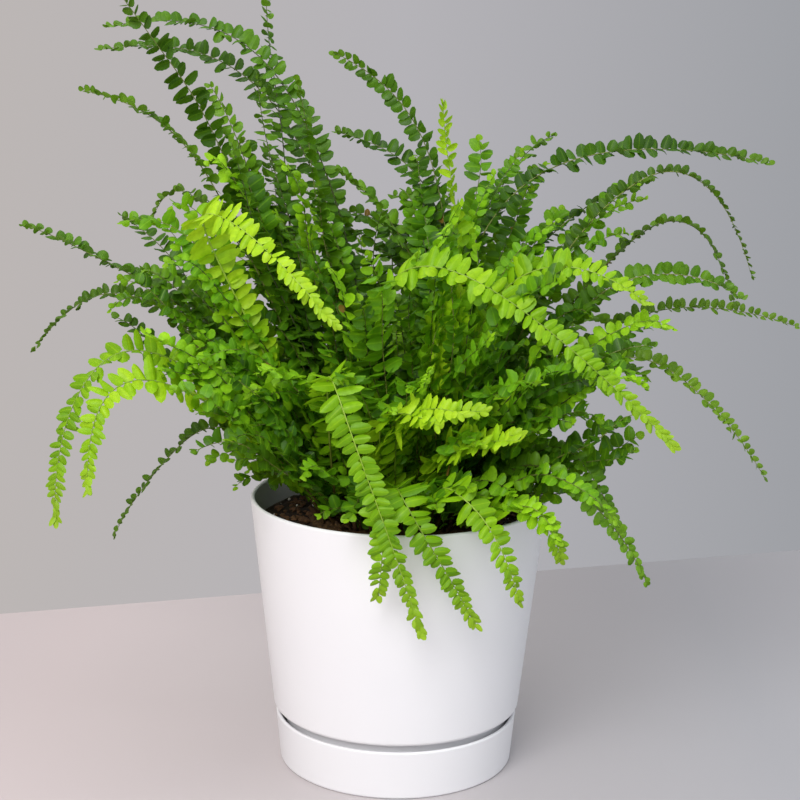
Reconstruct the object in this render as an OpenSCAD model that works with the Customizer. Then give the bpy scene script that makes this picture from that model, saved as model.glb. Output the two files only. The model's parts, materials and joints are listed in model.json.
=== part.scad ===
// Lemon button fern in a small white pot that stands in its own saucer.
// Millimetres, +Z up. The origin is the middle of the saucer's flat underside, and -Y is the front.
// A frond's heading is an angle seen from above, in degrees: 0 is right (+X) and 90 is back (+Y).

/* [Pot] */
// Outer radius of the pot at its rim
rim_r = 75; // [73:0.5:77]
// Height of the rim above the table
rim_z = 139; // [137:0.5:141]
// Outer radius of the pot at its lower shoulder
shoulder_r = 63.4; // [62.5:0.1:65]
// Height of the pot's lower shoulder above the table
shoulder_z = 28.7; // [28:0.1:30]
// Thickness of the pot's wall
pot_wall = 2.2; // [1.8:0.1:2.6]
// Outer radius of the neck that stands inside the saucer, at its top
neck_r = 57.5; // [56.5:0.1:58]
// Thickness of the pot's floor
pot_floor = 2.6; // [2:0.1:4]
// Radius of each drain hole
drain_r = 4; // [3:0.5:5]
// Number of drain holes round the middle one
drain_count = 6; // [4:1:8]

/* [Saucer] */
// Outer radius of the saucer's foot
foot_r = 60; // [59.5:0.1:60.5]
// Outer radius of the saucer's rim
saucer_rim_r = 62.1; // [61.8:0.1:63]
// Height of the saucer's rim
saucer_z = 25.4; // [24:0.1:26.5]
// Thickness of the saucer's wall and floor
saucer_wall = 2; // [1.6:0.1:2.4]
// Height of the ribs above the saucer's floor
rib_h = 5; // [4:0.5:6]
// Number of ribs that the pot stands on
rib_count = 8; // [6:1:12]

/* [Soil and crown] */
// Height of the soil's surface at the pot's wall
soil_z = 125; // [120:1:128]
// Radius of the root ball at its top
ball_top_r = 50; // [48:1:54]
// Radius of the root ball at its bottom
ball_low_r = 38; // [34:1:42]
// Depth of the root ball
ball_h = 86; // [70:1:95]
// Height of the woody crown above the root ball
crown_h = 4; // [3:0.5:6]

/* [Fronds] */
// Half width of a full-grown blade
blade_half = 6; // [3:0.5:7]
// Half thickness of a blade
blade_t = 0.9; // [0.7:0.1:1.2]
// Half thickness of a stalk
stalk_t = 1; // [0.8:0.1:1.2]

/* [Hidden] */
$fn = 96;

// Gap left between the potting mix and what it fills or holds
loose = 0.15;
// Height of the pot's standing ring above the table
stand_z = saucer_wall + rib_h;
// Height of the underside of the pot's floor
floor_z = stand_z + 2;
// Outer radius of the neck at its foot
neck_foot_r = neck_r - 1.5;
// Width of the standing ring
ring_w = 4;
// Radius of the circle that the outer drain holes lie on
drain_circle = 30;
// Height of the root ball's flat top, which the crown sits on
ball_z = soil_z;
// Height of the crown's flat top, which the fronds rise from
crown_z = ball_z + crown_h;
// Radius of the crown at its top, which holds every frond's foot
crown_r = 45;

// Number of stretches that each frond is built from
rings = 11;

// Kinds of frond: colour, width as a share of a full blade, and how the width runs from foot to tip
FULL = [[0, 0.17], [0.12, 0.18], [0.35, 0.85], [0.55, 1], [0.85, 0.7], [1, 0.1]];
THIN = [[0, 0.17], [0.15, 0.2], [0.35, 0.8], [0.5, 0.7], [0.65, 0.3], [1, 0.1]];
function tint(kind) = kind == "young" ? "yellowgreen" : kind == "thin" ? "olivedrab" : "forestgreen";
function spread(kind) = kind == "inner" || kind == "low" ? 0.7 : 1;
function profile(kind) = kind == "thin" ? THIN : FULL;

// Every frond is one smooth curve through three hand-set places, in millimetres:
// kind, foot x and y on the crown, knee x, y and z that the curve bends towards,
// tip x, y and z, and how far the blade turns about its own rib on the way up.
FRONDS = [
    // Upright and leaning left
    ["mature", -25, 10, -70, 20, 295, -70, 70, 390, 60],
    ["mature", -30, 5, -80, 20, 320, -135, 0, 385, 90],
    ["mature", -15, 15, -15, 30, 400, -150, 40, 370, 0],
    ["mature", -10, 30, -20, 50, 375, -160, 75, 360, 10],
    ["mature", -35, -6, -65, -5, 315, -155, 0, 340, 60],
    // Reaching left
    ["thin", -20, 30, -105, 55, 335, -130, 60, 270, 0],
    ["mature", -35, 2, -105, -20, 265, -180, -30, 275, 20],
    ["thin", -35, 10, -140, 20, 295, -190, 30, 205, 0],
    ["mature", -30, 20, -100, 30, 245, -145, 40, 275, 20],
    ["mature", -35, 15, -110, 10, 205, -145, 10, 225, 20],
    // Hanging on the left
    ["young", -35, -15, -160, -40, 305, -160, -60, 140, -20],
    ["young", -30, -25, -135, -60, 270, -145, -80, 160, -20],
    ["thin", -38, -10, -100, -15, 225, -140, -20, 120, 0],
    ["young", -25, -5, -155, -30, 375, -30, -95, 240, 20],
    // Hanging over the rim in front
    ["young", -30, -15, -50, -105, 310, 10, -100, 100, 0],
    ["young", 2, -25, -15, -110, 210, 35, -90, 100, 0],
    ["young", -5, -30, -5, -110, 195, -10, -90, 115, 0],
    // Arching forward and right
    ["young", 0, 0, -55, -45, 360, 125, -80, 185, 0],
    ["young", 20, 5, 40, -20, 310, 115, -40, 245, 0],
    ["young", 0, -20, -20, -60, 210, 30, -85, 200, 20],
    ["young", 15, -20, 15, -55, 190, 55, -90, 190, 0],
    // Upright in the middle
    ["mature", 10, 10, 55, 35, 310, -35, 40, 360, 40],
    ["mature", 5, 15, 55, 45, 305, -35, 60, 320, 0],
    ["young", 15, 0, 35, 5, 255, 20, 10, 335, 60],
    ["mature", 15, 20, 20, 45, 285, 80, 70, 315, 0],
    ["mature", -15, -5, -30, 0, 260, -55, 10, 345, 60],
    // Arching right
    ["mature", 25, 5, 0, 25, 355, 185, 30, 305, 0],
    ["thin", 28, 15, 115, 10, 400, 175, 10, 250, 0],
    ["thin", 30, 10, 125, 0, 355, 165, -10, 240, 0],
    ["mature", 34, 0, 95, -10, 295, 165, -20, 245, 0],
    ["thin", 35, 5, 95, 10, 270, 200, 10, 225, 0],
    ["thin", 35, -5, 115, -10, 280, 180, -20, 155, 0],
    ["mature", 20, 20, 30, 40, 265, 130, 60, 295, 0],
    // Low on the right
    ["mature", 30, -18, 70, -75, 215, 115, -70, 115, 0],
    ["mature", 35, -10, 80, -40, 210, 105, -50, 140, 0],
    ["young", 15, -32, 20, -110, 205, 55, -95, 115, 0],
    ["young", 25, -28, 55, -95, 180, 75, -85, 130, 0],
    ["mature", 35, -15, 65, -30, 165, 110, -30, 185, 0],
    // In the mass of the clump
    ["mature", -22, -8, -55, -15, 240, -85, -10, 315, 50],
    ["mature", -30, 10, -80, -10, 230, -125, -20, 255, 20],
    ["mature", -5, 0, -15, 0, 230, -10, -10, 285, 40],
    ["mature", 5, 5, 20, 30, 250, 0, 30, 290, 40],
    ["young", 5, -10, 20, -40, 260, 25, -40, 265, 40],
    ["mature", 30, -5, 75, -40, 220, 120, -35, 225, 0],
    ["mature", 25, -12, 60, -50, 210, 95, -60, 215, 0],
    ["mature", -22, -30, -60, -65, 185, -95, -75, 180, 0],
    // At the back
    ["mature", -10, 38, -30, 110, 250, -50, 150, 200, 0],
    ["mature", 10, 38, 20, 120, 290, 30, 175, 250, 0],
    ["mature", 30, 28, 90, 90, 260, 130, 120, 190, 0],
    ["young", -28, 30, -90, 90, 270, -130, 110, 180, 0],
    ["mature", 0, 34, -5, 55, 285, -15, 115, 270, 0],
    ["thin", 22, 34, 70, 110, 250, 90, 150, 150, 0],
];

// Headings of the fronds that fill the clump, chosen to pass between the others
INNER = [25, 160, 295, 70, 210, 350, 125, 260, 35, 175, 315, 85];
MIDDLE = [75, 210, 345, 130, 255, 40, 180, 320, 100, 230, 10, 150, 305, 60, 200, 335, 115, 205];
LOW = [15, 140, 290, 70, 205, 350, 120, 255, 35, 175, 305, 90, 240, 0, 155, 280];

// More fronds of the clump's sides, laid out as in FRONDS
CROWD = [
    ["inner", -20, 16, -90, 20, 325, -80, 30, 315, 0],
    ["inner", -32, -2, -95, -25, 265, -120, -15, 275, 0],
    ["inner", -36, -10, -100, -30, 245, -135, -35, 250, 0],
    ["inner", -32, -18, -95, -55, 230, -120, -50, 230, 0],
    ["inner", 14, 14, 35, 40, 300, 40, 40, 315, 0],
    ["inner", 18, 12, 35, 45, 295, 60, 40, 310, 0],
    ["inner", 26, 12, 65, 50, 285, 125, 45, 285, 0],
    ["inner", 36, 2, 95, 0, 245, 130, -10, 225, 0],
    ["inner", 34, -12, 70, -45, 240, 115, -50, 205, 0],
    ["inner", 34, -20, 70, -55, 200, 95, -60, 195, 0],
    ["inner", -28, -20, -75, -60, 205, -105, -70, 205, 0],
    ["inner", 18, -12, 25, -65, 235, 25, -35, 285, 0],
    ["inner", 22, -14, 50, -50, 250, 75, -60, 265, 0],
    ["inner", -32, 6, -95, -25, 295, -135, -20, 280, 0],
    ["inner", -39, -6, -110, -25, 270, -140, -25, 235, 0],
    ["inner", -32, 14, -95, 15, 290, -115, 10, 285, 0],
    ["inner", -18, 10, -75, 15, 315, -95, -10, 305, 0],
    ["inner", -10, 10, -60, 15, 305, -55, 0, 305, 0],
    ["inner", 12, 16, 20, 15, 300, 5, 45, 305, 0],
    ["inner", 22, 26, 50, 60, 295, 75, 60, 300, 0],
    ["inner", 30, 12, 85, 30, 285, 120, 30, 295, 0],
    ["inner", 34, 8, 95, 5, 270, 115, 0, 245, 0],
    ["inner", 31, -3, 95, -15, 250, 130, -30, 230, 0],
    ["inner", 33, -14, 80, -50, 225, 115, -60, 210, 0],
    ["inner", 33, -24, 70, -85, 195, 100, -85, 150, 0],
    ["inner", 37, -16, 95, -65, 195, 110, -70, 195, 0],
];

function two_digits(n) = str(n < 10 ? "0" : "", n);
function frond_name(i) = str(FRONDS[i][0], "_frond_", two_digits(i + 1));

// Points on a round stretch of an outline, in the plane of radius and height
function arc(cx, cz, r, from, to, steps = 6) =
    [for (i = [0:steps]) let(a = from + (to - from) * i / steps) [cx + r * cos(a), cz + r * sin(a)]];

// Outer radius of the pot's tapered wall at height z
function wall_r(z) = shoulder_r + (rim_r - shoulder_r) * (z - shoulder_z) / (rim_z - shoulder_z);

// Inner radius of the pot at height z: the neck below the shoulder, the tapered wall above it
function inner_r(z) = z < shoulder_z + pot_wall
    ? neck_r - pot_wall
    : wall_r(z) - pot_wall;

module saucer() {
    lip = saucer_wall / 2;
    foot_round = 1.5;
    outline = concat(
        [[0, 0]],
        arc(foot_r - foot_round, foot_round, foot_round, -90, 0),
        arc(saucer_rim_r - lip, saucer_z - lip, lip, 0, 180),
        [[foot_r - saucer_wall, saucer_wall + 2], [foot_r - saucer_wall - 2, saucer_wall], [0, saucer_wall]]
    );
    color("white")
    union() {
        rotate_extrude() polygon(outline);
        // Ribs that hold the pot up out of the water
        for (i = [0:rib_count - 1])
            rotate(360 * i / rib_count)
            translate([neck_foot_r - 14, -1.5, saucer_wall - 0.5])
            cube([15, 3, rib_h + 0.5]);
    }
}

module pot() {
    lip = pot_wall / 2;
    edge = 2.5;
    inner_floor = floor_z + pot_floor;
    outline = concat(
        [[0, floor_z], [neck_foot_r - ring_w, floor_z], [neck_foot_r - ring_w, stand_z]],
        [[neck_foot_r, stand_z], [neck_r, shoulder_z]],
        arc(shoulder_r - edge, shoulder_z + edge, edge, -90, 0),
        arc(rim_r - lip, rim_z - lip, lip, 0, 180),
        [
            [inner_r(shoulder_z + 2 * pot_wall), shoulder_z + 2 * pot_wall],
            [neck_r - pot_wall, shoulder_z],
            [neck_foot_r - pot_wall, inner_floor],
            [0, inner_floor]
        ]
    );
    color("white")
    difference() {
        rotate_extrude() polygon(outline);
        translate([0, 0, floor_z - 1]) cylinder(r = drain_r, h = pot_floor + 2);
        for (i = [0:drain_count - 1])
            rotate(360 * i / drain_count)
            translate([drain_circle, 0, floor_z - 1])
            cylinder(r = drain_r, h = pot_floor + 2);
    }
}

module potting_mix() {
    inner_floor = floor_z + pot_floor;
    ball_foot = ball_z - ball_h;
    outline = [
        [0, inner_floor],
        [neck_foot_r - pot_wall - loose, inner_floor],
        [neck_r - pot_wall - loose, shoulder_z],
        [inner_r(shoulder_z + 2 * pot_wall) - loose, shoulder_z + 2 * pot_wall],
        [inner_r(soil_z) - loose, soil_z],
        [ball_top_r + loose, soil_z],
        [ball_low_r + loose, ball_foot],
        [0, ball_foot]
    ];
    color("#33261d") rotate_extrude() polygon(outline);
}

module root_ball() {
    color("#6b5236")
    translate([0, 0, ball_z - ball_h])
    cylinder(r1 = ball_low_r, r2 = ball_top_r, h = ball_h);
}

module crown() {
    color("#5a4a2c")
    translate([0, 0, ball_z])
    cylinder(r1 = crown_r + 1.5, r2 = crown_r, h = crown_h);
}

// Place and direction on a frond's curve, t from 0 at the foot to 1 at the tip
function foot(f) = [f[1], f[2], crown_z];
function knee(f) = [f[3], f[4], f[5]];
function tip(f) = [f[6], f[7], f[8]];
function place(f, t) = (1 - t) * (1 - t) * foot(f) + 2 * t * (1 - t) * knee(f) + t * t * tip(f);
function unit(v) = v / norm(v);
function along(f, t) = unit((1 - t) * (knee(f) - foot(f)) + t * (tip(f) - knee(f)));

// The blade's level direction, square to the way that the frond leans
function level(f) = unit([foot(f)[1] - tip(f)[1], tip(f)[0] - foot(f)[0], 0]);

// Side of the blade at t: level at the foot, then turned about the rib
function side(f, t) =
    let(
        d = along(f, t),
        s = unit(level(f) - (level(f) * d) * d),
        turned = f[9] * min(1, t / 0.35)
    )
    cos(turned) * s + sin(turned) * cross(d, s);

// Four corners of the blade's section at t. The foot's section is level, to sit flat on the crown.
function section(f, t) =
    let(
        half = blade_half * spread(f[0]) * lookup(t, profile(f[0])),
        thick = t < 0.3 ? stalk_t : blade_t,
        s = t == 0 ? level(f) : side(f, t),
        up = t == 0 ? cross([0, 0, 1], s) : cross(along(f, t), s),
        at = place(f, t)
    )
    [at + half * s, at + thick * up, at - half * s, at - thick * up];

module frond(f) {
    corners = [for (i = [0:rings]) each section(f, i / rings)];
    last = 4 * rings;
    sides = [
        for (i = [0:rings - 1], j = [0:3])
            let(a = 4 * i + j, b = 4 * i + (j + 1) % 4)
            each [[a, a + 4, b + 4], [a, b + 4, b]]
    ];
    color(tint(f[0]))
    polyhedron(corners, concat([[0, 1, 2, 3]], sides, [[last + 3, last + 2, last + 1, last]]));
}

// A filling frond from its heading and, going up it, the reach from the pot's middle and the height
function filler(kind, heading, foot_out, knee_out, knee_z, tip_out, tip_z, turn = 0) =
    let(c = cos(heading), s = sin(heading))
    [
        kind, foot_out * c, foot_out * s,
        knee_out * c, knee_out * s, knee_z,
        tip_out * c, tip_out * s, tip_z, turn
    ];

// Upright fronds in the heart of the clump, taller and closer in first
module inner_fronds() {
    for (i = [0:len(INNER) - 1])
        frond(filler(
            "inner", INNER[i], 6 + 1.2 * i,
            20 + 3 * i, 250 + 10 * sin(97 * i),
            50 + 5 * i, 300 - 4 * i, 20
        ));
}

// Arching fronds half way down the clump, then those that crowd its left and right sides
module middle_fronds() {
    for (i = [0:len(MIDDLE) - 1])
        frond(filler(
            "inner", MIDDLE[i], 22 + 0.6 * i,
            55 + i, 225 + 12 * sin(83 * i),
            105 + 10 * sin(61 * i), 215
        ));
    for (row = CROWD)
        frond(row);
}

// Short fronds that lean out just above the rim
module low_fronds() {
    for (i = [0:len(LOW) - 1])
        frond(filler(
            "low", LOW[i], 37,
            58, 172 + 6 * sin(71 * i),
            92 + 6 * sin(53 * i), 158 + 8 * sin(37 * i)
        ));
}

saucer();
pot();
potting_mix();
root_ball();
crown();
for (i = [0:len(FRONDS) - 1])
    frond(FRONDS[i]);
inner_fronds();
middle_fronds();
low_fronds();
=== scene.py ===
# %% [markdown]
# # Lemon button fern in a small white pot
# The plant is a clump of narrow fronds, each one a thin rib with two rows of button-like leaflets, growing from
# a short woody crown in a tapered white pot. The pot stands in its own saucer and lifts straight out of it.
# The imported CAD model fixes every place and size. This notebook turns it into something that looks alive.
# Lengths here are in metres, except in the list of the kinds of frond, which is in millimetres.

# %% Load the frame and keep the CAD box
import json
import math

import bpy
import numpy as np
from mathutils import Matrix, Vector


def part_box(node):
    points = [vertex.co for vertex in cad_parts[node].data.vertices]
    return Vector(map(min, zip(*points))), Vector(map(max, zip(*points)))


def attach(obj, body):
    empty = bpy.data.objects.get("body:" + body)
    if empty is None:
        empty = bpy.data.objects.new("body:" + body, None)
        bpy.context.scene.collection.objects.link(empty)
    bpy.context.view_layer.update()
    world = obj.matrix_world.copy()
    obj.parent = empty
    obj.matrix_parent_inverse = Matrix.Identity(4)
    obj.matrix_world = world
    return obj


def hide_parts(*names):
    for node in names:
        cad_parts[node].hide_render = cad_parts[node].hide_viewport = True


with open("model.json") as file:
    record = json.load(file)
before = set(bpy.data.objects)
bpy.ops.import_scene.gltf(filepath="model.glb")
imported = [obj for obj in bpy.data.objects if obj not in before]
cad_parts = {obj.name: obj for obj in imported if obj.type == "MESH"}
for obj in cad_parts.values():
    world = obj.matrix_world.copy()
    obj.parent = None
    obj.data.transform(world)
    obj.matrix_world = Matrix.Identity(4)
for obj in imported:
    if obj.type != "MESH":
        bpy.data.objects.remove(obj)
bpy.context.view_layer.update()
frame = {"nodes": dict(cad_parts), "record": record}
MM = 0.001
BODY = "potted_fern"
slot_of = {part["node"]: part["material_slot"] for part in frame["record"]["subparts"]}


# %% [markdown]
# ## The camera
# The plant is seen from a little above the rim, from about 0.84 m away, through a short telephoto lens, so the
# pot's sides look nearly straight. Three unit vectors (right, up and back) make the camera's turn exactly, and a
# small roll is simply a turn of right and up about the line of sight.

# %% Camera
def put_in_scene(name, data, axes, place):
    """A new object at place. Its own x, y and z axes point along the three unit vectors in axes."""
    thing = bpy.data.objects.new(name, data)
    bpy.context.scene.collection.objects.link(thing)
    turn = np.eye(4)
    turn[:3, :3] = np.column_stack(axes)
    turn[:3, 3] = place
    thing.matrix_world = Matrix(turn)
    return thing


def place_camera(distance, height, tilt, roll, lens):
    """A camera on the -Y side at that height, looking along +Y, tipped down by tilt and rolled, in degrees."""
    tilt, roll = math.radians(tilt), math.radians(roll)
    ahead = np.array([0, math.cos(tilt), -math.sin(tilt)])
    level = np.array([1.0, 0, 0])
    over = np.cross(level, ahead)
    right = math.cos(roll) * level + math.sin(roll) * over
    up = math.cos(roll) * over - math.sin(roll) * level
    data = bpy.data.cameras.new("camera")
    data.lens = lens
    bpy.context.scene.camera = put_in_scene("camera", data, [right, up, -ahead], (0, -distance, height))


place_camera(distance=0.8353, height=0.3651, tilt=11.98, roll=0.78, lens=76.5)


# %% [markdown]
# ## Floor and light
# A plain pale table top, with painted shade towards its right, ends a little behind the pot, and a soft grey room
# stands in for the wall. Large area lamps act as soft boxes: a window on the left for the bright side of the pot,
# a weaker fill on the right, and a pale ceiling. Big lamps close by give the soft edges that shadows of leaves
# have indoors.

# %% Stage
def soft_box(name, place, target, size, watts, colour):
    """A square area lamp at place, turned to face target."""
    data = bpy.data.lights.new(name, "AREA")
    data.size = size
    data.energy = watts
    data.color = colour
    back = np.array(place, float) - np.array(target, float)
    back /= np.linalg.norm(back)
    right = np.cross([0, 0, 1], back)
    right /= np.linalg.norm(right)
    put_in_scene(name, data, [right, np.cross(back, right), back], place)


def plain_material(name, colour, roughness):
    """A new Principled material and its shader node."""
    material = bpy.data.materials.new(name)
    material.use_nodes = True
    shader = material.node_tree.nodes["Principled BSDF"]
    shader.inputs["Base Color"].default_value = (*colour, 1)
    shader.inputs["Roughness"].default_value = roughness
    return material, shader


# The table reaches 3 m to either side, and its far edge runs slantwise from left to right.
half_table, far_left, far_right = 3, -0.618, 1.182
table_corners = [(-half_table, -half_table, 0), (half_table, -half_table, 0),
                 (half_table, far_right, 0), (-half_table, far_left, 0)]
table_mesh = bpy.data.meshes.new("table_top")
table_mesh.from_pydata(table_corners, [], [(0, 1, 2, 3)])
table = bpy.data.objects.new("table_top", table_mesh)
bpy.context.scene.collection.objects.link(table)
table_mesh.materials.append(plain_material("table_paint", (0.52, 0.47, 0.475), 0.55)[0])

soft_box("window", (-0.47, -1.22, 1.12), (0, 0, 0.22), size=0.9, watts=26, colour=(1.0, 0.99, 0.985))
soft_box("room_fill", (1.4, -0.6, 0.9), (0, 0, 0.2), size=1.4, watts=9, colour=(0.93, 0.96, 1.0))
soft_box("ceiling", (0, 0.3, 1.7), (0, 0, 0.2), size=1.2, watts=10, colour=(1.0, 0.99, 0.97))

world = bpy.data.worlds.new("room")
bpy.context.scene.world = world
world.use_nodes = True
bpy.context.scene.view_settings.view_transform = "Standard"


# %% [markdown]
# ## Small helpers for shader nodes
# Each finish below is a short graph. `wire` makes a node, sets its plain values and links its inputs in one call,
# which keeps the graphs readable. The other helpers name the few nodes that most graphs use.

# %% Node helpers
def wire(tree, kind, settings=None, **inputs):
    """A new node with attributes from settings. Each input is a socket to link or a plain value to set."""
    made = tree.nodes.new(kind)
    for key, value in (settings or {}).items():
        setattr(made, key, value)
    for key, value in inputs.items():
        index = int(key[1:]) if key[1:].isdigit() else key.replace("_", " ")
        target = made.inputs[index]
        if isinstance(value, bpy.types.NodeSocket):
            tree.links.new(value, target)
        else:
            target.default_value = value
    return made


def rescale(tree, value, low, high, first=0.0, last=1.0):
    """value stretched evenly so that low gives first and high gives last, and held at those beyond them."""
    return wire(tree, "ShaderNodeMapRange", _0=value, _1=low, _2=high, _3=first, _4=last).outputs[0]


def ramp(tree, factor, stops):
    """A colour ramp over factor with (position, (r, g, b)) stops."""
    made = wire(tree, "ShaderNodeValToRGB", Fac=factor)
    while len(made.color_ramp.elements) < len(stops):
        made.color_ramp.elements.new(0.5)
    for element, (position, colour) in zip(made.color_ramp.elements, stops, strict=True):
        element.position = position
        element.color = (*colour, 1)
    return made.outputs["Color"]


def coordinates(tree, kind):
    """The X, Y and Z of a place, in that kind of texture coordinate."""
    return wire(tree, "ShaderNodeSeparateXYZ", Vector=wire(tree, "ShaderNodeTexCoord").outputs[kind]).outputs


def object_noise(tree, scale, detail=2.0, roughness=0.5):
    """Noise over the piece's own coordinates, from 0 to 1. scale is in waves per metre."""
    where = wire(tree, "ShaderNodeTexCoord").outputs["Object"]
    noise = wire(tree, "ShaderNodeTexNoise", Vector=where, Scale=scale, Detail=detail, Roughness=roughness)
    return noise.outputs["Fac"]


def add_bump(tree, shader, height, strength, depth):
    """Roughens the shader's surface by height, and returns the bump's normal. depth is in metres."""
    normal = wire(tree, "ShaderNodeBump", Strength=strength, Distance=depth, Height=height).outputs[0]
    tree.links.new(normal, shader.inputs["Normal"])
    return normal


# %% [markdown]
# The room is a little brighter and warmer on the window side. The world colour therefore changes slowly with
# direction, from warm light grey on the left to cooler grey on the right. The table's colour holds painted shade
# for the same fall of light and for the pot's soft shadow: it turns darker and cooler from 0.2 m left of the pot
# to 0.2 m right of it.

# %% Room colour
wall_tones = [(0.0, (0.515, 0.475, 0.455)), (0.5, (0.46, 0.45, 0.475)), (1.0, (0.31, 0.325, 0.35))]
room = world.node_tree
sideways = rescale(room, coordinates(room, "Generated")[0], -0.3, 0.3)
room.links.new(ramp(room, sideways, wall_tones), room.nodes["Background"].inputs["Color"])

# Painted shade on the table: warm pale on the window side, darker and cooler to the right of the pot.
table_painted_shade = [(0.0, (0.55, 0.48, 0.485)), (0.5, (0.51, 0.475, 0.485)), (1.0, (0.37, 0.37, 0.395))]
paint = table_mesh.materials[0].node_tree
across = rescale(paint, coordinates(paint, "Object")[0], -0.2, 0.2)
paint.links.new(ramp(paint, across, table_painted_shade), paint.nodes["Principled BSDF"].inputs["Base Color"])


# %% [markdown]
# ## White moulded plastic
# The pot and saucer are injection moulded in a satin white. Real moulded plastic is never quite flat: it has a
# very fine texture that softens reflections, and handling leaves faint differences in gloss and tint. A slow
# noise drives each of those, and a very fine one a small bump. The CAD meshes have the right shape, so they only
# take the finish.

# %% White plastic
def make_white_plastic():
    """Satin white: roughness 0.32 to 0.46 by where it was handled, a slow change of tint, and a fine grain."""
    material, shader = plain_material("white_plastic", (0.80, 0.80, 0.81), 0.38)
    tree = material.node_tree
    gloss = rescale(tree, object_noise(tree, 14, detail=3), 0.3, 0.7, 0.32, 0.46)
    tree.links.new(gloss, shader.inputs["Roughness"])
    tint = ramp(tree, object_noise(tree, 9), [(0.3, (0.76, 0.76, 0.785)), (0.7, (0.79, 0.79, 0.81))])
    tree.links.new(tint, shader.inputs["Base Color"])
    add_bump(tree, shader, object_noise(tree, 2600, detail=1), 0.06, 0.0003)
    return material


def paint_nodes(finish, *nodes):
    """Gives CAD nodes that finish in place of their plain one."""
    for node in nodes:
        mesh = frame["nodes"][node].data
        mesh.materials.clear()
        mesh.materials.append(finish)


paint_nodes(make_white_plastic(), "pot", "saucer")


# %% [markdown]
# ## Surfaces from grids
# Every new piece is made the same way: a function fills whole numpy arrays with points on a grid, and one helper
# turns grids into faces. `grid_faces` also handles thousands of equal small grids at once, which is how all the
# leaflets of a frond become one mesh without a loop over leaflets. `end_caps` closes the ends of tubes.

# %% Grid helpers
def grid_faces(copies, rows, columns, closed=False):
    """Quads of `copies` grids of rows x columns points, numbered one grid after another.
    With closed, the last column joins the first, as round a tube."""
    row, column = np.meshgrid(np.arange(rows - 1), np.arange(columns if closed else columns - 1), indexing="ij")
    after = (column + 1) % columns
    quad = np.stack([row * columns + column, row * columns + after,
                     (row + 1) * columns + after, (row + 1) * columns + column], axis=-1).reshape(-1, 4)
    return (quad[None] + (np.arange(copies) * rows * columns)[:, None, None]).reshape(-1, 4)


def end_caps(copies, rows, around):
    """Faces that close both ends of `copies` tubes of rows x around points, numbered as in grid_faces."""
    start, loop = np.arange(copies)[:, None] * rows * around, np.arange(around)
    return np.concatenate([start + loop[::-1], start + (rows - 1) * around + loop])


def make_piece(name, points, quads, finishes, finish_index=None, uv=None, values=None, extra_faces=()):
    """A smooth-shaded mesh object from arrays, riding on the potted fern. uv and each array of values hold one
    entry for each point."""
    mesh = bpy.data.meshes.new(name)
    mesh.from_pydata(points, [], np.asarray(quads).tolist() + np.asarray(extra_faces).tolist())
    for finish in finishes:
        mesh.materials.append(finish)
    count = len(mesh.polygons)
    mesh.polygons.foreach_set("use_smooth", np.ones(count, bool))
    if finish_index is not None:
        mesh.polygons.foreach_set("material_index", np.asarray(finish_index, np.int32))
    if uv is not None:
        corner = np.empty(len(mesh.loops), np.int32)
        mesh.loops.foreach_get("vertex_index", corner)
        layer = mesh.uv_layers.new(name="leaf")
        layer.data.foreach_set("uv", np.asarray(uv, np.float32)[corner].ravel())
    for key, value in (values or {}).items():
        mesh.attributes.new(key, "FLOAT", "POINT").data.foreach_set("value", np.asarray(value, np.float32))
    mesh.update()
    piece = bpy.data.objects.new(name, mesh)
    bpy.context.scene.collection.objects.link(piece)
    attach(piece, BODY)
    return piece


def unit(vectors):
    """Vectors scaled to length 1 along the last axis."""
    return vectors / np.maximum(np.linalg.norm(vectors, axis=-1, keepdims=True), 1e-12)


# %% [markdown]
# ## Reading a frond from its CAD ribbon
# In CAD each frond is a thin ribbon with a four-cornered section at every ring. Walking from the foot's four
# corners to their neighbours, and on again, visits the rings in order. The middle of a ring lies on the frond's
# rib, and its widest corner shows which way the blade faces. So the fronds here follow the CAD exactly, and no
# measurement is written twice.

# %% Rings of the CAD ribbons
foot_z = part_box("crown")[1].z


def ribbon_rings(node):
    """Corners of every ribbon in a CAD node, as ribbons x rings x 4 x 3, from its foot on the crown to its tip."""
    mesh = frame["nodes"][node].data
    points = np.empty(len(mesh.vertices) * 3, np.float32)
    mesh.vertices.foreach_get("co", points)
    mesh.calc_loop_triangles()
    triangles = np.empty(len(mesh.loop_triangles) * 3, np.int32)
    mesh.loop_triangles.foreach_get("vertices", triangles)
    keys, merged = np.unique(np.round(points.reshape(-1, 3), 6), axis=0, return_inverse=True)
    triangles = merged.ravel()[triangles].reshape(-1, 3)
    near = np.zeros((len(keys), len(keys)), bool)
    for a, b in ((0, 1), (1, 2), (2, 0)):
        near[triangles[:, a], triangles[:, b]] = near[triangles[:, b], triangles[:, a]] = True
    # Each ribbon gets the smallest point number that its edges lead to.
    label = np.arange(len(keys))
    for _ in range(len(keys)):
        spread = np.minimum(label, np.where(near, label[None], len(keys)).min(axis=1))
        if (spread == label).all():
            break
        label = spread
    level = np.where(abs(keys[:, 2] - foot_z) < 2e-6, 0, -1)
    ring = 0
    while (level < 0).any() and ring < len(keys):
        level[near[level == ring].any(axis=0) & (level < 0)] = ring + 1
        ring += 1
    order = np.lexsort((level, label))
    ribbons = len(np.unique(label))
    return keys[order].reshape(ribbons, -1, 4, 3)


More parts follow.
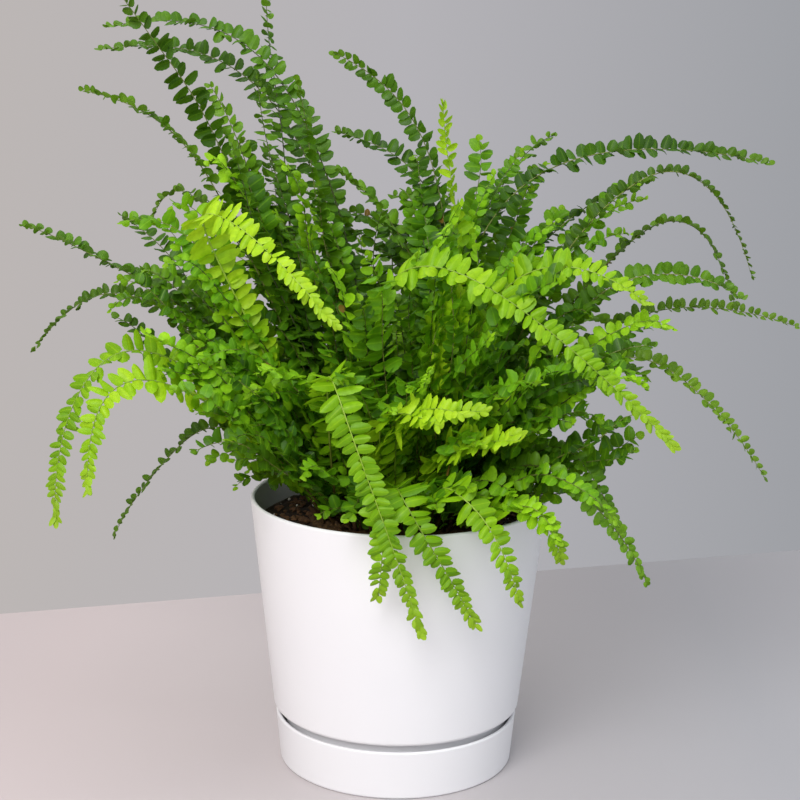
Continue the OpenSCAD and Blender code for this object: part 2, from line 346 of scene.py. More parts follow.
def ribbon_lines(corners):
    """Rib points and blade directions of ribbons. The direction starts at the widest ring, and each neighbouring
    ring then takes the corner that points most nearly the same way."""
    rib = corners.mean(axis=2)
    arms = corners - rib[:, :, None]
    reach = np.linalg.norm(arms, axis=-1)
    who = np.arange(len(rib))
    widest = reach.max(axis=2).mean(axis=0).argmax()
    first = arms[who, widest, reach[:, widest].argmax(axis=1)]
    blade = np.zeros_like(rib)
    blade[:, widest] = first
    for step in (-1, 1):
        now = first
        ring = widest + step
        while 0 <= ring < rib.shape[1]:
            same = (unit(arms[:, ring]) * unit(now)[:, None]).sum(axis=-1).argmax(axis=1)
            now = arms[who, ring, same]
            blade[:, ring] = now
            ring += step
    return rib, unit(blade)


def rib_lengths(ribs):
    """The length of each rib in metres."""
    return np.linalg.norm(np.diff(ribs, axis=1), axis=2).sum(axis=1)


sample_ribs, _ = ribbon_lines(ribbon_rings("mature_frond_01"))
print("first frond: rings", sample_ribs.shape[1], "length mm", round(float(rib_lengths(sample_ribs)[0]) / MM, 1))


# %% [markdown]
# ## Four kinds of frond
# A lemon button fern carries fronds of different ages. Old ones are deep green with round, button-like leaflets.
# Young ones are lime green with longer leaflets, swept forward. Thin ones have small leaflets. Shaded ones are the
# short crowd in the middle of the clump: their leaflets vary most, and carry painted light, lighter the higher
# they stand. Young fronds carry the most of it, and old and thin ones are painted a little darker higher up.
#
# The numbers below are a maker's list for each kind.
#
# - `length`, `width` and `gap` of a full leaflet and `thick`, the rib's thickness, are in millimetres.
# - `sweep` forwards, `lift` out of the blade and `turn` about the leaflet's own axis are in degrees. `fold` is
#   added to the turn towards the tip.
# - `size` is how leaflet size changes from foot to tip, and `spread` how it differs between fronds. The gap
#   shrinks with the size to the power `crowd`.
# - `apart` is how far the left leaflets are out of step with the right ones, in gaps. `bare` is the share of the
#   rib without leaflets, `wild` how untidy it all is, and `taper` how much narrower a leaflet is at its end.
# - `shades` is the range of a frond's own tone, `rise` how fast painted light changes tone with height (lighter
#   higher up when above 0, darker when below), and `facing` how strongly the blade turns to the light.

# %% Kinds
# Leaflet size from foot to tip: places along the rib, and the size at each.
FULL = ((0, 0.08, 0.3, 0.55, 0.82, 0.94, 1), (0.62, 0.78, 0.98, 1, 0.86, 0.64, 0.4))
LONG = ((0, 0.15, 0.35, 0.5, 0.7, 0.88, 1), (0.45, 0.58, 0.92, 1, 0.72, 0.5, 0.38))
THIN = ((0, 0.1, 0.3, 0.5, 0.65, 0.85, 1), (0.7, 0.9, 1, 0.92, 0.76, 0.62, 0.42))
# Each kind's rise sets painted light by height: lighter up high where above 0, darker up high where below 0.
KINDS = {
    "mature_leaf": dict(length=8.0, width=6.9, gap=4.8, thick=1.1, sweep=12, lift=20, turn=36, fold=24,
                        size=FULL, spread=(0.92, 1.08), crowd=0.5, apart=0.25, bare=0.05, wild=1.2, taper=0.08,
                        shades=(0.0, 0.9), rise=-0.5, facing=(0.4, 1.2)),
    "young_leaf": dict(length=11.6, width=6.5, gap=5.4, thick=1.2, sweep=12, lift=10, turn=8, fold=0,
                       size=LONG, spread=(0.94, 1.08), crowd=0.7, apart=0.25, bare=0.08, wild=1.1, taper=0.16,
                       shades=(0.3, 0.75), rise=3.4, facing=(0.6, 1.4)),
    "thin_frond_leaf": dict(length=7.0, width=5.6, gap=4.1, thick=0.9, sweep=16, lift=30, turn=24, fold=30,
                            size=THIN, spread=(0.9, 1.1), crowd=0.2, apart=0.1, bare=0.05, wild=1.1, taper=0.12,
                            shades=(0.0, 0.8), rise=-0.5, facing=(0.2, 0.9)),
    "shaded_leaf": dict(length=8.5, width=7.3, gap=5.3, thick=0.8, sweep=14, lift=14, turn=28, fold=0,
                        size=FULL, spread=(0.68, 1.06), crowd=0.5, apart=0.25, bare=0.04, wild=1.7, taper=0.10,
                        shades=(-0.05, 1.1), rise=1.0, facing=(0.5, 1.4)),
}


# %% [markdown]
# ## One leaflet
# A leaflet is a small round sheet, sitting on the rib with a broad foot. A square grid with rounded corners gives
# one with evenly spread edge points and a middle column for its midrib. Pulling in every other edge point gives
# the shallow round teeth of the edge.

# %% Leaflet sheet
LEAF_ROWS, LEAF_COLUMNS = 7, 5
ROUND_END, BROAD_FOOT = 0.48, 0.34
TOOTH, FOOT_POWER = 0.95, 1.3


def leaflet_sheet():
    """Points of a disc from a square grid (a, b): x = a sqrt(1 - ROUND_END b^2) and y = b sqrt(1 - ROUND_END a^2).
    Edge points with an odd row plus column are pulled in to TOOTH of that. The foot half is wider, with BROAD_FOOT
    in y. x then goes from 0 at the foot to 1 at the end, and raising it to FOOT_POWER draws the first rows
    together. Both make the foot blunt."""
    a, b = np.meshgrid(np.linspace(-1, 1, LEAF_ROWS), np.linspace(-1, 1, LEAF_COLUMNS), indexing="ij")
    edge = (abs(a) == 1) | (abs(b) == 1)
    odd = np.add.outer(np.arange(LEAF_ROWS), np.arange(LEAF_COLUMNS)) % 2 == 1
    tooth = np.where(edge & odd, TOOTH, 1.0)
    out = (a * np.sqrt(1 - ROUND_END * b**2) * tooth + 1) / 2
    bend = np.where(a < 0, BROAD_FOOT, ROUND_END)
    return (out**FOOT_POWER).ravel(), (b * np.sqrt(1 - bend * a**2) * tooth).ravel()


leaf_x, leaf_y = leaflet_sheet()
print("leaflet: points", leaf_x.size, "faces", (LEAF_ROWS - 1) * (LEAF_COLUMNS - 1))


# %% [markdown]
# ## One frond
# The rib is a smooth curve through the middles of the CAD rings, with a faint waver, because no real stalk is a
# perfect arc. Along it goes a frame of three directions: ahead along the rib, aside across the blade, and above,
# out of the blade. The blade turns a little to the light, and curls slowly one way and the other. Leaflets sit
# left and right in turn. Each one sweeps forward and turns about its own axis, so that its face looks up at the
# light even where the frond itself stands upright.

# %% Frond frame
STATIONS = 161
TO_LIGHT = unit(np.array([-0.25, -0.85, 0.45]))
WAVER, CURL = 2 * MM, np.radians(16)
ASIDE_WAVE, ABOVE_WAVE, CURL_WAVE = 7, 10, 6  # radians of each slow wave from foot to tip


def frond_frame(rib, blade, facing, rng):
    """Rib points and the three directions at even steps along one frond.
    A quartic through the ring middles gives the curve. Above is the side that faces up and towards the pot's axis.
    Two slow sine waves of height WAVER bend the rib aside and above, and CURL times a third turns the blade."""
    rings, steps = np.linspace(0, 1, len(rib)), np.linspace(0, 1, STATIONS)
    powers = np.vander(steps, 5)
    line = powers @ np.polyfit(rings, rib, 4)
    aside = powers @ np.polyfit(rings, blade, 4)
    ahead = unit(np.gradient(line, axis=0))
    aside = unit(aside - (aside * ahead).sum(axis=1, keepdims=True) * ahead)
    above = np.cross(ahead, aside)
    inward = unit(line * (1, 1, 0)) * -0.6 + (0, 0, 1)
    if (above * inward).sum() < 0:
        aside, above = -aside, -above
    drawn = TO_LIGHT - (ahead @ TO_LIGHT)[:, None] * ahead
    above = unit(above + rng.uniform(*facing) * np.minimum(1, steps * 4)[:, None] * drawn)
    aside = np.cross(above, ahead)
    phase = rng.uniform(0, 2 * np.pi, 2)
    waver = WAVER * np.minimum(1, steps * 2)[:, None]
    line = line + waver * (np.sin(ASIDE_WAVE * steps + phase[0])[:, None] * aside
                           + np.sin(ABOVE_WAVE * steps + phase[1])[:, None] * above)
    curl = CURL * np.sin(CURL_WAVE * steps + phase[1])[:, None]
    aside, above = (np.cos(curl) * aside + np.sin(curl) * above, np.cos(curl) * above - np.sin(curl) * aside)
    ahead = unit(np.gradient(line, axis=0))
    return steps, line, ahead, aside, above


def along_line(where, steps, values):
    """Values at stations, read off at other places by straight lines between stations."""
    return np.stack([np.interp(where, steps, column) for column in values.T], axis=-1)


# %% [markdown]
# Leaflet places come from walking the rib: each step is one gap long, and gaps shrink with the leaflets towards
# the tip. The sweep grows along the rib, so that the last leaflets close over the tip. Everything about the
# leaflets is an array with one entry for each leaflet, and one product with the leaflet sheet makes all their
# points. Three values go with each point for the finish: its tone, how fresh it is, and whether it is dry.

# %% Leaflets of a frond
DRY_SHARE, DRY_SIZE = 0.0025, 0.6
OUTER_SWEEP, TIP_SWEEP = 12, 45  # degrees added along the outer part of a rib and at its very tip
LEVEL_LIFT = 16  # degrees added where the rib runs level
OWN_SHARE = 0.3  # how much of a leaflet's tone is its own, and not its frond's
# Painted light: between these heights a leaflet's tone follows its height over the crown, by its kind's rise.
MID_HEIGHT, BELOW_MID, ABOVE_MID = 0.1, -0.12, 0.05  # metres over the crown between which tone follows height
FRESH_FROM = 0.85  # share of the rib where the yellower growing tip begins


def leaf_places(kind, steps, line, rng):
    """For each leaflet of a frond, its place along the rib from 0 to 1, its side as -1 or 1, and its size.
    Pace = the sum of each step's length / the gap there, so leaflets one pace apart are one gap apart."""
    size = np.interp(steps, *kind["size"]) * rng.uniform(*kind["spread"])
    stride = np.linalg.norm(np.diff(line, axis=0), axis=1) / (kind["gap"] * MM * size[1:] ** kind["crowd"])
    pace = np.concatenate([[0], np.cumsum(stride)])
    begin = np.interp(kind["bare"], steps, pace)
    each = np.arange(max(2, int(pace[-1] - begin)))
    side = np.repeat([-1.0, 1.0], each.size)
    stretch = (pace[-1] - begin) / each.size
    spot = begin + stretch * (np.tile(each, 2) + 0.6 + kind["apart"] * side + rng.normal(0, 0.1, side.size))
    where = np.interp(spot, pace, steps)
    return where, side, np.interp(where, steps, size)


def leaf_directions(kind, where, side, ahead, aside, above, rng):
    """Unit vectors along each leaflet, across it and out of its face. A leaflet starts straight out to its side,
    sweeps ahead and lifts above, and then turns about its own long way, with the upper face to the tip."""
    count, wild, side = where.size, kind["wild"], side[:, None]
    sweep = np.radians(kind["sweep"] + OUTER_SWEEP * where**3 + TIP_SWEEP * where**16
                       + wild * rng.normal(0, 7, count))[:, None]
    long_way = unit(np.cos(sweep) * side * aside + np.sin(sweep) * ahead)
    level = 1 - abs(ahead[:, 2])
    lift = np.radians(kind["lift"] + LEVEL_LIFT * level + wild * rng.normal(0, 12, count))[:, None]
    long_way = unit(np.cos(lift) * long_way + np.sin(lift) * above)
    face = unit(above - (above * long_way).sum(axis=1, keepdims=True) * long_way)
    tipward = np.cross(face, long_way) * -side
    turn = np.radians(kind["turn"] * np.clip(ahead[:, 2], -0.6, 1) + kind["fold"] * where**2
                      + wild * rng.normal(0, 14, count))[:, None]
    face = np.cos(turn) * face + np.sin(turn) * tipward
    return long_way, np.cross(long_way, face), face


def leaflets(kind, frame_lines, rng):
    """Points, UV, tone, freshness and dryness of all leaflets of a frond, with one entry for each point.
    Point = foot + long way * x + cross way * y + face way * (cup y^2 - droop x^2), with x from 0 to 1 outwards.
    Tone = the leaflet's own share + its frond's share + rise * height over the crown, and this last term is
    painted
    light: leaflets higher in the clump lighter, or darker where rise is below 0."""
    steps, line, *directions = frame_lines
    where, side, grown = leaf_places(kind, steps, line, rng)
    count = where.size
    foot, ahead, aside, above = (along_line(where, steps, values) for values in (line, *directions))
    brown = rng.uniform(0, 1, count) < DRY_SHARE
    grown = grown * np.where(brown, DRY_SIZE, 1)
    length = (kind["length"] * MM * grown * rng.normal(1, 0.1, count))[:, None]
    width = (kind["width"] * MM * grown**0.85 * rng.normal(1, 0.07, count))[:, None]
    long_way, cross_way, face = leaf_directions(kind, where, side, ahead, aside, above, rng)
    cup = rng.normal(-0.22, 0.10, count)[:, None]
    droop = rng.normal(0.24, 0.12, count)[:, None]
    out = leaf_x
    wide = leaf_y * (1 - kind["taper"] * out**2)
    rise = width * cup * wide**2 - length * droop * out**2
    points = (foot[:, None] + long_way[:, None] * (length * out)[..., None]
              + cross_way[:, None] * (width / 2 * wide)[..., None] + face[:, None] * rise[..., None])
    uv = np.broadcast_to(np.stack([out, (leaf_y + 1) / 2], axis=-1), points.shape[:2] + (2,))
    low, high = kind["shades"]
    frond_tone = low + (high - low) * rng.uniform(0, 1) ** 1.4
    # Painted light: tone changes with the leaflet's height over the crown.
    painted_height_light = kind["rise"] * np.clip(foot[:, 2] - foot_z - MID_HEIGHT, BELOW_MID, ABOVE_MID)
    tone = OWN_SHARE * rng.uniform(0, 1, count) + (1 - OWN_SHARE) * frond_tone + painted_height_light
    fresh = np.clip((where - FRESH_FROM) / (1 - FRESH_FROM), 0, 1) ** 2
    tone, fresh, dry = (np.repeat(values, leaf_x.size) for values in (tone, fresh, brown * 1.0))
    return points.reshape(-1, 3), uv.reshape(-1, 2), tone, fresh, dry


# %% [markdown]
# The rib is a thin tapered tube. It starts a little inside the crown and ends in a point among the last leaflets.

# %% Stalk tube
TUBE_SIDES = 6
ROOTED = 1.5 * MM  # how deep a rib starts in the crown


def circles(aside, above):
    """TUBE_SIDES points of a unit circle in each plane of aside and above."""
    angle = np.linspace(0, 2 * np.pi, TUBE_SIDES, endpoint=False)[:, None]
    return np.cos(angle) * aside[:, None] + np.sin(angle) * above[:, None]


def stalk(frame_lines, thick):
    """Points of a frond's rib as a tube round every fifth station: place + radius * circle. It thins from thick to
    about a third of it, and to a point in the last ring."""
    steps, line, _, aside, above = (v[::5] for v in frame_lines)
    line = line.copy()
    line[0, 2] -= ROOTED
    radius = thick * MM / 2 * (1 - 0.7 * steps) * np.where(steps > 0.99, 0.3, 1)
    return line[:, None] + radius[:, None, None] * circles(aside, above)


# %% [markdown]
# ## Leaf finish
# A fern leaflet is a thin green sheet: matt wax on top, light shining through it from behind. So the finish mixes
# a Principled surface with some translucency. Its green changes from leaflet to leaflet, and softly over the
# clump. The leaflet's own map draws a paler midrib and side veins, and growing tips are more yellow. A few
# leaflets are dry.

# %% Leaf materials
def screen(red, green, blue):
    """A colour given as 0 to 255 screen values, in the linear light that shaders use."""
    value = np.array([red, green, blue]) / 255
    return tuple(np.where(value <= 0.04045, value / 12.92, ((value + 0.055) / 1.055) ** 2.4).tolist())


def mix(tree, factor, first, second):
    """Colour between first and second by factor."""
    return wire(tree, "ShaderNodeMix", {"data_type": "RGBA"}, _0=factor, _6=first, _7=second).outputs[2]


def arithmetic(tree, operation, *values):
    """The result of a Math node."""
    inputs = {f"_{index}": value for index, value in enumerate(values)}
    return wire(tree, "ShaderNodeMath", {"operation": operation}, **inputs).outputs[0]


def times(tree, value, factor):
    """value times factor."""
    return arithmetic(tree, "MULTIPLY", value, factor)


def attribute(tree, name):
    """A float attribute of the mesh."""
    return wire(tree, "ShaderNodeAttribute", {"attribute_name": name}).outputs["Fac"]


def leaf_map(tree):
    """How far out from the foot and how far across a point lies, each from 0 to 1."""
    place = wire(tree, "ShaderNodeUVMap", {"uv_map": "leaf"}).outputs[0]
    return wire(tree, "ShaderNodeSeparateXYZ", Vector=place).outputs[:2]


VEIN_PACE, VEIN_SLANT, VEIN_SHARPNESS = 25.0, 30.0, 6.0
LINE_CONTRAST = 0.3


def make_leaf(name, dark, middle, light, tip, through):
    """A leaf finish from its dark, middle and light greens, its growing tip and how much light comes through.
    Green follows 0.7 tone + 0.3 slow noise. Side veins are the peaks of
    a sine of VEIN_PACE * out - VEIN_SLANT * off middle."""
    material, shader = plain_material(name, middle, 0.42)
    tree = material.node_tree
    patch = object_noise(tree, 28)
    mottle = object_noise(tree, 420, detail=3)
    shade = arithmetic(tree, "ADD", times(tree, attribute(tree, "tone"), 0.7), times(tree, patch, 0.3))
    green = ramp(tree, shade, [(0.2, dark), (0.5, middle), (0.8, light)])
    green = mix(tree, times(tree, attribute(tree, "fresh"), 0.8), green, (*tip, 1))

    out, across = leaf_map(tree)
    off_middle = arithmetic(tree, "ABSOLUTE", arithmetic(tree, "SUBTRACT", across, 0.5))
    midrib = rescale(tree, off_middle, 0.015, 0.06, 1.0, 0.0)
    slant = arithmetic(tree, "SUBTRACT", times(tree, out, VEIN_PACE), times(tree, off_middle, VEIN_SLANT))
    waves = arithmetic(tree, "ABSOLUTE", arithmetic(tree, "SINE", slant))
    veins = arithmetic(tree, "POWER", waves, VEIN_SHARPNESS)
    line = arithmetic(tree, "MAXIMUM", midrib, times(tree, veins, 0.3))
    # The veins fade out on fresh tips.
    contrast = arithmetic(tree, "SUBTRACT", LINE_CONTRAST, times(tree, attribute(tree, "fresh"), LINE_CONTRAST))
    green = mix(tree, arithmetic(tree, "MULTIPLY", line, contrast), green, (*light, 1))
    green = mix(tree, times(tree, rescale(tree, mottle, 0.35, 0.75), 0.35), green, (*dark, 1))
    green = mix(tree, attribute(tree, "dry"), green, (*screen(128, 92, 44), 1))
    tree.links.new(green, shader.inputs["Base Color"])
    tree.links.new(rescale(tree, mottle, 0.3, 0.7, 0.36, 0.52), shader.inputs["Roughness"])
    height = arithmetic(tree, "SUBTRACT", times(tree, mottle, 0.4), line)
    normal = add_bump(tree, shader, height, 0.3, 0.0001)
    shader.inputs["Specular IOR Level"].default_value = 0.24
    glow = wire(tree, "ShaderNodeBsdfTranslucent", Color=mix(tree, 0.5, green, (*light, 1)), Normal=normal)
    both = wire(tree, "ShaderNodeMixShader", _0=through, _1=shader.outputs[0], _2=glow.outputs[0])
    tree.links.new(both.outputs[0], tree.nodes["Material Output"].inputs["Surface"])
    return material


# The shaded crowd's greens are brighter than the old fronds' as painted light, making up for the shade deep in the
# clump. The old fronds' greens are partly their own deep green and partly painted shade for outer fronds seen
# against the light.
leaf_finishes = {
    "mature_leaf": make_leaf("mature_leaf", screen(36, 72, 8), screen(72, 118, 18), screen(118, 166, 32),
                             screen(104, 146, 26), 0.30),
    "young_leaf": make_leaf("young_leaf", screen(86, 138, 8), screen(138, 190, 18), screen(188, 226, 40),
                            screen(168, 202, 50), 0.34),
    "thin_frond_leaf": make_leaf("thin_frond_leaf", screen(50, 86, 10), screen(86, 126, 22), screen(124, 164, 36),
                                 screen(100, 136, 38), 0.30),
    "shaded_leaf": make_leaf("shaded_leaf", screen(42, 88, 8), screen(108, 168, 22), screen(166, 220, 36),
                             screen(150, 196, 28), 0.34),
}


# %% [markdown]
# Ribs are brown and a little hairy at the foot, and turn green along the frond.

# %% Stalk materials
def make_stalk(name, foot, dark, light):
    """A rib finish: the foot's brown, then between dark and light by the frond's own tone, with a fine fibre."""
    material, shader = plain_material(name, dark, 0.5)
    tree = material.node_tree
    rib = mix(tree, attribute(tree, "tone"), (*dark, 1), (*light, 1))
    green = mix(tree, rescale(tree, leaf_map(tree)[0], 0.03, 0.25), (*foot, 1), rib)
    fibre = object_noise(tree, 900)
    green = mix(tree, times(tree, fibre, 0.3), green, (*foot, 1))
    tree.links.new(green, shader.inputs["Base Color"])
    add_bump(tree, shader, fibre, 0.3, 0.0002)
    return material


old_stalk = make_stalk("old_stalk", screen(66, 46, 22), screen(44, 62, 12), screen(120, 132, 54))
young_stalk = make_stalk("young_stalk", screen(84, 62, 30), screen(104, 140, 24), screen(152, 188, 56))
stalk_finishes = {slot: young_stalk if slot == "young_leaf" else old_stalk for slot in KINDS}


# %% [markdown]
# ## All the fronds
# One function grows the fronds on a set of ribs and joins them into one mesh with two finishes, leaf and stalk. A
# named CAD node is one frond. Real fronds come up in tufts, though, so some ribs also grow companions from the
# same foot: short young fronds that don't hang, old fronds that stand upright, and every ribbon of the group
# nodes, which stand for the crowd in the clump. Young tufts are the brightest: their raised tones are painted
# light against the shade of the fronds round them, and more so low in the clump. Old fronds that end low have
# small leaflets.

# %% Grow fronds
MOST_FRONDS = 64
# Fronds in a tuft, the turns of the companions in degrees, and their scales.
TUFTS = {"short_young": (3, (4, 13), (0.8, 1.0)), "upright_old": (3, (9, 30), (0.62, 0.86)),
         "low_fronds": (2, (9, 34), (0.6, 0.9)), "crowd": (3, (9, 30), (0.6, 0.95))}
SHORT_YOUNG, NOT_HANGING, HIGH_YOUNG = 160 * MM, 50 * MM, 100 * MM  # a rib's length, then its tip over its foot
LOW_OLD, UPRIGHT = 40 * MM, 0.8  # an old frond's tip over its foot, in metres and as a share of its length
# Tone ranges of short young tufts, raised as painted light against the shade round them, the low ones most.
HIGH_YOUNG_PAINTED_LIGHT, LOW_YOUNG_PAINTED_LIGHT, YOUNG_SPREAD = (0.6, 1.05), (0.95, 1.25), (1.02, 1.16)
LOW_OLD_SPREAD = (0.7, 0.85)


def tuft(ribs, blades, count, turns, scales, rng):
    """Each rib with count - 1 companions from the same foot: the rib turned about the upright either way by a
    number of degrees in turns, and scaled by one in scales, sideways and upwards.
    Points = foot + turn (rib - foot) * scale."""
    foot = ribs[:, :1]
    made = [ribs]
    for _ in range(count - 1):
        turn = np.radians(rng.uniform(*turns, len(ribs)) * rng.choice([-1, 1], len(ribs)))
        cosine, sine = np.cos(turn)[:, None], np.sin(turn)[:, None]
        x, y, z = np.moveaxis(ribs - foot, -1, 0)
        scale = rng.uniform(*scales, (2, len(ribs), 1))
        turned = (x * cosine - y * sine) * scale[0], (x * sine + y * cosine) * scale[0], z * scale[1]
        made.append(foot + np.stack(turned, axis=-1))
    return np.concatenate(made), np.concatenate([blades] * count)


def joined(node, name, kind, slot, ribs, blades, rng):
    """One mesh of every frond grown on the given ribs, riding on the potted fern. Returns its leaflet count."""
    points, quads, extra, uvs, finish = [], [], [], [], []
    values = {"tone": [], "fresh": [], "dry": []}
    used = leaves = 0
    for rib, blade in zip(ribs, blades, strict=True):
        lines = frond_frame(rib, blade, kind["facing"], rng)
        rib_tone = rng.uniform(0, 1)
        leaf_points, uv, tone, fresh, dry = leaflets(kind, lines, rng)
        quads.append(grid_faces(len(leaf_points) // leaf_x.size, LEAF_ROWS, LEAF_COLUMNS) + used)
        leaves += len(leaf_points) // leaf_x.size
        used += len(leaf_points)
        tube_points = stalk(lines, kind["thick"])
        rows = len(tube_points)
        quads.append(grid_faces(1, rows, TUBE_SIDES, closed=True) + used)
        extra.append(end_caps(1, rows, TUBE_SIDES) + used)
        used += rows * TUBE_SIDES
        tube_uv = np.meshgrid(np.linspace(0, 1, rows), np.linspace(0, 1, TUBE_SIDES), indexing="ij")
        points += [leaf_points, tube_points.reshape(-1, 3)]
        uvs += [uv, np.stack(tube_uv, axis=-1).reshape(-1, 2)]
        finish += [np.zeros(len(quads[-2])), np.ones(len(quads[-1]))]
        nothing = np.zeros(rows * TUBE_SIDES)
        values["tone"] += [tone, nothing + rib_tone]
        values["fresh"] += [fresh, nothing]
        values["dry"] += [dry, nothing]
    extra = np.concatenate(extra)
    finish.append(np.ones(len(extra)))
    values = {key: np.concatenate(parts) for key, parts in values.items()}
    piece = make_piece(name, np.concatenate(points), np.concatenate(quads),
                       [leaf_finishes[slot], stalk_finishes[slot]],
                       np.concatenate(finish), np.concatenate(uvs), values, extra)
    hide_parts(node)
    return leaves


def grow_node(node, seed):
    """Leafy pieces for a CAD node of fronds. Each piece holds at most MOST_FRONDS, to keep its mesh small."""
    slot = slot_of[node]
    kind = KINDS[slot]
    rng = np.random.default_rng(seed)
    ribs, blades = ribbon_lines(ribbon_rings(node))
    reach = rib_lengths(ribs).max()
    rise = ribs[0, -1, 2] - foot_z
    habit = None
    if slot == "young_leaf" and reach < SHORT_YOUNG and rise > NOT_HANGING:
        habit = "short_young"
        # Painted light: short young tufts get raised tones, and the low ones the most.
        kind = {**kind, "shades": HIGH_YOUNG_PAINTED_LIGHT if rise > HIGH_YOUNG else LOW_YOUNG_PAINTED_LIGHT, "spread": YOUNG_SPREAD}
    elif slot == "mature_leaf" and rise > UPRIGHT * reach:
        habit = "upright_old"
    elif slot == "mature_leaf" and rise < LOW_OLD:
        kind = {**kind, "spread": LOW_OLD_SPREAD}
    elif slot == "shaded_leaf":
        habit = "low_fronds" if node == "low_fronds" else "crowd"
    if habit:
        ribs, blades = tuft(ribs, blades, *TUFTS[habit], rng)
    parts = math.ceil(len(ribs) / MOST_FRONDS)
    names = [f"{node}_leafy"] if parts == 1 else [f"{node}_leafy_{number + 1}" for number in range(parts)]
    return sum(joined(node, name, kind, slot, some_ribs, some_blades, rng) for name, some_ribs, some_blades
               in zip(names, np.array_split(ribs, parts), np.array_split(blades, parts), strict=True))


frond_nodes = sorted(name for name, slot in slot_of.items() if slot in KINDS)
leaf_total = sum(grow_node(node, 100 + number) for number, node in enumerate(frond_nodes))
print("frond nodes:", len(frond_nodes), "leaflets:", leaf_total)


# %% [markdown]
# ## Potting mix and crown
# Potting mix is dark, damp and crumbly, with bits of bark and a few white perlite grains. The surface is a disc
# whose height is the highest of many small domes at each point, which reads as clods. The crown is the same idea,
# finer and browner, with the stubs of old stalks standing on it.

# %% Clods
def clods(x, y, reach, count, small, large, rng):
    """Height at (x, y): the highest of count flattened domes of radius small to large, scattered within reach."""
    angle, out = rng.uniform(0, 2 * np.pi, count), reach * np.sqrt(rng.uniform(0, 1, count))
    radius = rng.uniform(small, large, count)
    away = (x[..., None] - out * np.cos(angle)) ** 2 + (y[..., None] - out * np.sin(angle)) ** 2
    return (0.55 * np.sqrt(np.clip(radius**2 - away, 0, None))).max(axis=-1)


def crumbly_disc(name, reach, low, high, count, small, large, finish, rng, rings=64, around=220):
    """A closed disc from z = low, with a side at reach and a top of clods above z = high."""
    out = np.linspace(1 * MM, reach, rings)
    angle = np.linspace(0, 2 * np.pi, around, endpoint=False)
    x, y = out[:, None] * np.cos(angle), out[:, None] * np.sin(angle)
    edge = np.clip((reach - out[:, None]) / (2 * MM), 0, 1)
    top = high + edge * clods(x, y, reach, count, small, large, rng)
    bottom = np.stack([x[[0, -1]], y[[0, -1]], np.full((2, around), low)], axis=-1)
    upper = np.stack([x, y, top], axis=-1)[::-1]
    points = np.concatenate([bottom, upper]).reshape(-1, 3)
    rows = len(points) // around
    return make_piece(name, points, grid_faces(1, rows, around, closed=True), [finish],
                      extra_faces=end_caps(1, rows, around))


def crumbs(name, centres, radii, finish, rng, flat=0.6):
    """Closed pebbles: four rings of six points round each centre, every point pushed in or out at random."""
    copies, rows, around = len(centres), 4, 6
    turn = np.linspace(0, 2 * np.pi, around, endpoint=False)
    rise = np.radians(np.linspace(-60, 60, rows))[:, None]
    ball = np.cos(rise) * np.cos(turn), np.cos(rise) * np.sin(turn), np.sin(rise) * np.ones(around)
    swell = rng.uniform(0.65, 1.2, (copies, rows, around, 1)) * radii[:, None, None, None]
    stretch = rng.uniform(0.6, 1.5, (copies, 1, 1, 3)) * (1, 1, flat)
    points = centres[:, None, None] + np.stack(ball, axis=-1) * swell * stretch
    piece = make_piece(name, points.reshape(-1, 3), grid_faces(copies, rows, around, closed=True), [finish],
                       extra_faces=end_caps(copies, rows, around))
    piece.data.polygons.foreach_set("use_smooth", np.zeros(len(piece.data.polygons), bool))
    return piece


def earthy(name, stops, scale, roughness, depth):
    """A rough finish whose colour runs through stops by noise, with bumps of that depth in metres."""
    material, shader = plain_material(name, stops[0][1], roughness)
    tree = material.node_tree
    grain = object_noise(tree, scale, detail=5, roughness=0.65)
    tree.links.new(ramp(tree, grain, stops), shader.inputs["Base Color"])
    add_bump(tree, shader, grain, 0.8, depth)
    shader.inputs["Specular IOR Level"].default_value = 0.25
    return material


soil_browns = [(0.3, screen(22, 17, 13)), (0.55, screen(48, 36, 26)), (0.75, screen(82, 62, 44))]
bark_browns = [(0.3, screen(52, 36, 24)), (0.7, screen(112, 80, 52))]
perlite_whites = [(0.3, screen(190, 184, 172)), (0.7, screen(226, 222, 214))]
crown_browns = [(0.3, screen(38, 26, 16)), (0.55, screen(78, 56, 32)), (0.75, screen(118, 90, 52))]
root_browns = [(0.3, screen(50, 36, 24)), (0.55, screen(100, 76, 50)), (0.75, screen(150, 122, 86))]
soil_finish = earthy("damp_peat", soil_browns, scale=500, roughness=0.9, depth=0.0006)
bark_finish = earthy("bark_chips", bark_browns, scale=700, roughness=0.85, depth=0.0003)
perlite_finish = earthy("perlite", perlite_whites, scale=900, roughness=0.8, depth=0.0002)
crown_finish = earthy("woody_crown", crown_browns, scale=650, roughness=0.85, depth=0.0005)
root_finish = earthy("fine_roots", root_browns, scale=420, roughness=0.9, depth=0.0008)

paint_nodes(soil_finish, "potting_mix")
paint_nodes(root_finish, "root_ball")


# %% [markdown]
# The soil's clods lie on the flat CAD surface of the potting mix, a little short of the pot's wall. The crown's
# take the place of the plain CAD crown. Bark chips and perlite grains are scattered between the crown and the
# pot's wall.

# %% Soil top
CLODS, BARK_CHIPS, PERLITE_GRAINS = 900, 420, 46
rng = np.random.default_rng(7)
soil_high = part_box("potting_mix")[1].z
soil_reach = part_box("potting_mix")[1].x - 1.2 * MM
crown_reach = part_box("crown")[1].x
soil_top = crumbly_disc("potting_mix_top", soil_reach, soil_high - 0.2 * MM, soil_high + 0.1 * MM, CLODS,
                        1.2 * MM, 4.5 * MM, soil_finish, rng)
crown_top = crumbly_disc("crown_of_stubs", crown_reach - 1 * MM, soil_high + 0.3 * MM, foot_z - 1.2 * MM, CLODS,
                         1.0 * MM, 2.6 * MM, crown_finish, rng, rings=48)
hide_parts("crown")


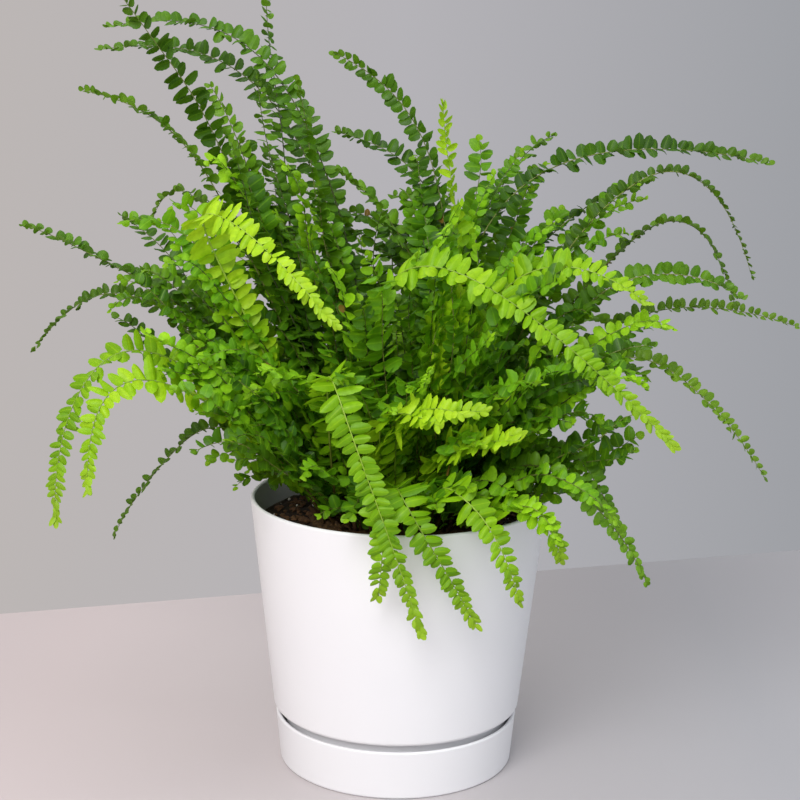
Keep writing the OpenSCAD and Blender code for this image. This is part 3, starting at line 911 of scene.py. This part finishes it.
def scatter(count, inner, outer, height, rng):
    """Places spread evenly over a ring, at one height give or take 0.6 mm."""
    angle = rng.uniform(0, 2 * np.pi, count)
    out = np.sqrt(rng.uniform(inner**2, outer**2, count))
    height = height + rng.uniform(-0.6, 0.6, count) * MM
    return np.stack([out * np.cos(angle), out * np.sin(angle), height], axis=-1)


inner, outer = 30 * MM, soil_reach - 3 * MM
bark = crumbs("bark_chips", scatter(BARK_CHIPS, inner, outer, soil_high + 2.4 * MM, rng),
              rng.uniform(0.8, 2.6, BARK_CHIPS) * MM, bark_finish, rng, flat=0.45)
perlite = crumbs("perlite_grains", scatter(PERLITE_GRAINS, inner, outer, soil_high + 2.6 * MM, rng),
                 rng.uniform(0.5, 1.2, PERLITE_GRAINS) * MM, perlite_finish, rng, flat=0.9)


# %% [markdown]
# Old fronds are cut or break off and leave short stubs round the crown. Each stub is a tapered tube that leans
# outwards.

# %% Stubs
STUB_RINGS = ((0, 1.3), (0.5, 0.95), (1, 0.7))  # height as a share of the stub's, and width to its middle's


def stubs(name, count, finish, rng):
    """Leaning tapered tubes with closed ends, standing on the crown: foot + lean * height + radius * circle."""
    foot = scatter(count, 6 * MM, crown_reach - 5 * MM, foot_z - 1.0 * MM, rng)
    outwards = unit(foot * (1, 1, 0)) * rng.uniform(0.1, 0.7, (count, 1))
    lean = unit(outwards + (0, 0, 1) + rng.normal(0, 0.15, (count, 3)))
    aside = unit(np.cross(lean, [1.0, 0.2, 0]))
    circle = circles(aside, np.cross(lean, aside))
    tall = rng.uniform(4, 13, count)[:, None] * MM
    radius = rng.uniform(0.8, 1.5, (count, 1, 1)) * MM
    rings = [foot[:, None] + (lean * tall)[:, None] * share + circle * radius * wide for share, wide in STUB_RINGS]
    points = np.stack(rings, axis=1).reshape(-1, 3)
    piece = make_piece(name, points, grid_faces(count, len(rings), TUBE_SIDES, closed=True), [finish],
                       extra_faces=end_caps(count, len(rings), TUBE_SIDES))


stubs("old_stalk_stubs", 110, crown_finish, rng)
